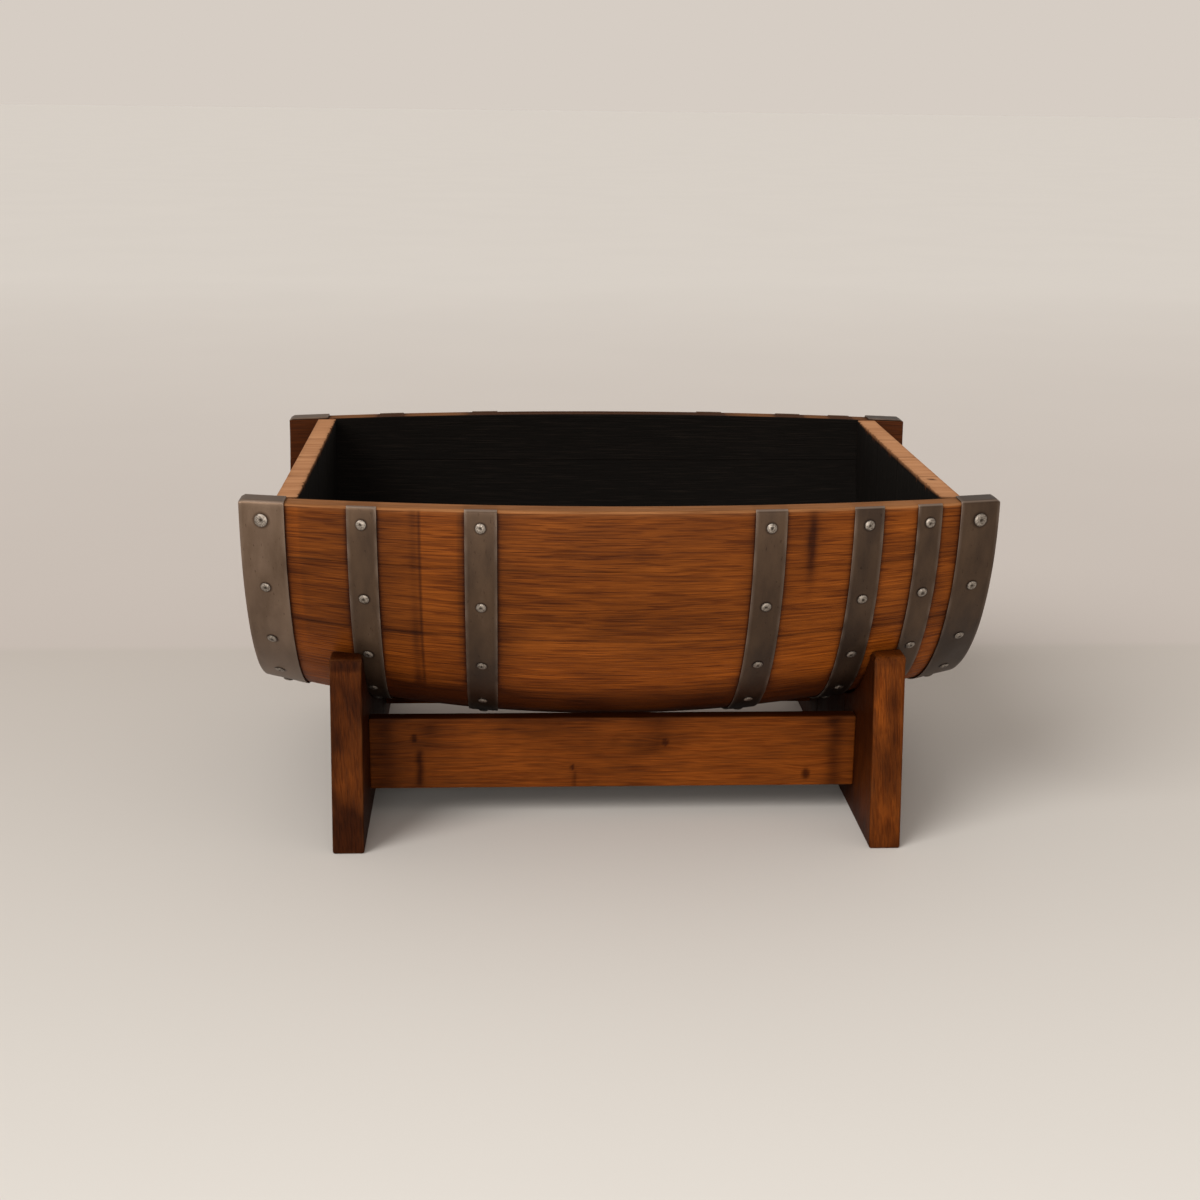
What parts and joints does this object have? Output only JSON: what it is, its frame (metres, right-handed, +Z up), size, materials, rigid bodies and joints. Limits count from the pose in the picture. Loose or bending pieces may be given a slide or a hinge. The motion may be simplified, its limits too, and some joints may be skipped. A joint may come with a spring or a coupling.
{
  "type": "half barrel planter",
  "caption": "Half barrel of bowed staves with steel hoops and boarded heads, lying open side up in a saddle-cut timber cradle.",
  "frame": {"origin": "on the floor under the middle of the barrel, centre of the footprint", "axes": "+X along the barrel to the right end, -Y towards the front, +Z up"},
  "size_m": [0.95, 0.724, 0.4677],
  "materials": {
    "stave_oak": "oak barrel staves, stained warm brown and oiled outside, charred black inside, bare and paler on the sawn rim",
    "head_oak": "oak head boards, pale sawn edge on top, charred black inside",
    "hoop_steel": "hot-rolled steel strip, dark brown-grey scale with paler worn edges",
    "nail_steel": "bright domed steel nail heads",
    "cradle_pine": "planed softwood boards, dark brown stain with lighter worn edges",
    "dowel_beech": "plain fluted beech dowel",
    "screw_steel": "zinc-plated steel screws"
  },
  "bodies": {
    "cradle": {"back_rail": "cradle_pine", "front_rail": "cradle_pine", "left_frame_back_board": "cradle_pine", "left_frame_dowels": "dowel_beech", "left_frame_front_board": "cradle_pine", "left_frame_middle_board": "cradle_pine", "left_rail_screws": "screw_steel", "right_frame_back_board": "cradle_pine", "right_frame_dowels": "dowel_beech", "right_frame_front_board": "cradle_pine", "right_frame_middle_board": "cradle_pine", "right_rail_screws": "screw_steel"},
    "tub": {"left_bilge_hoop": "hoop_steel", "left_bilge_hoop_nails": "nail_steel", "left_chime_hoop": "hoop_steel", "left_chime_hoop_nails": "nail_steel", "left_head_board_1": "head_oak", "left_head_board_2": "head_oak", "left_head_board_3": "head_oak", "left_head_board_4": "head_oak", "left_head_dowels": "dowel_beech", "left_quarter_hoop": "hoop_steel", "left_quarter_hoop_nails": "nail_steel", "right_bilge_hoop": "hoop_steel", "right_bilge_hoop_nails": "nail_steel", "right_chime_hoop": "hoop_steel", "right_chime_hoop_nails": "nail_steel", "right_collar_hoop": "hoop_steel", "right_collar_hoop_nails": "nail_steel", "right_head_board_1": "head_oak", "right_head_board_2": "head_oak", "right_head_board_3": "head_oak", "right_head_board_4": "head_oak", "right_head_dowels": "dowel_beech", "right_quarter_hoop": "hoop_steel", "right_quarter_hoop_nails": "nail_steel", "stave_01": "stave_oak", "stave_02": "stave_oak", "stave_03": "stave_oak", "stave_04": "stave_oak", "stave_05": "stave_oak", "stave_06": "stave_oak", "stave_07": "stave_oak", "stave_08": "stave_oak", "stave_09": "stave_oak", "stave_10": "stave_oak", "stave_11": "stave_oak"}
  },
  "joints": [
    {"name": "tub_lift", "type": "slide", "parent": "cradle", "child": "tub", "axis": [0, 0, 1], "range_m": [0, 0.34]}
  ]
}
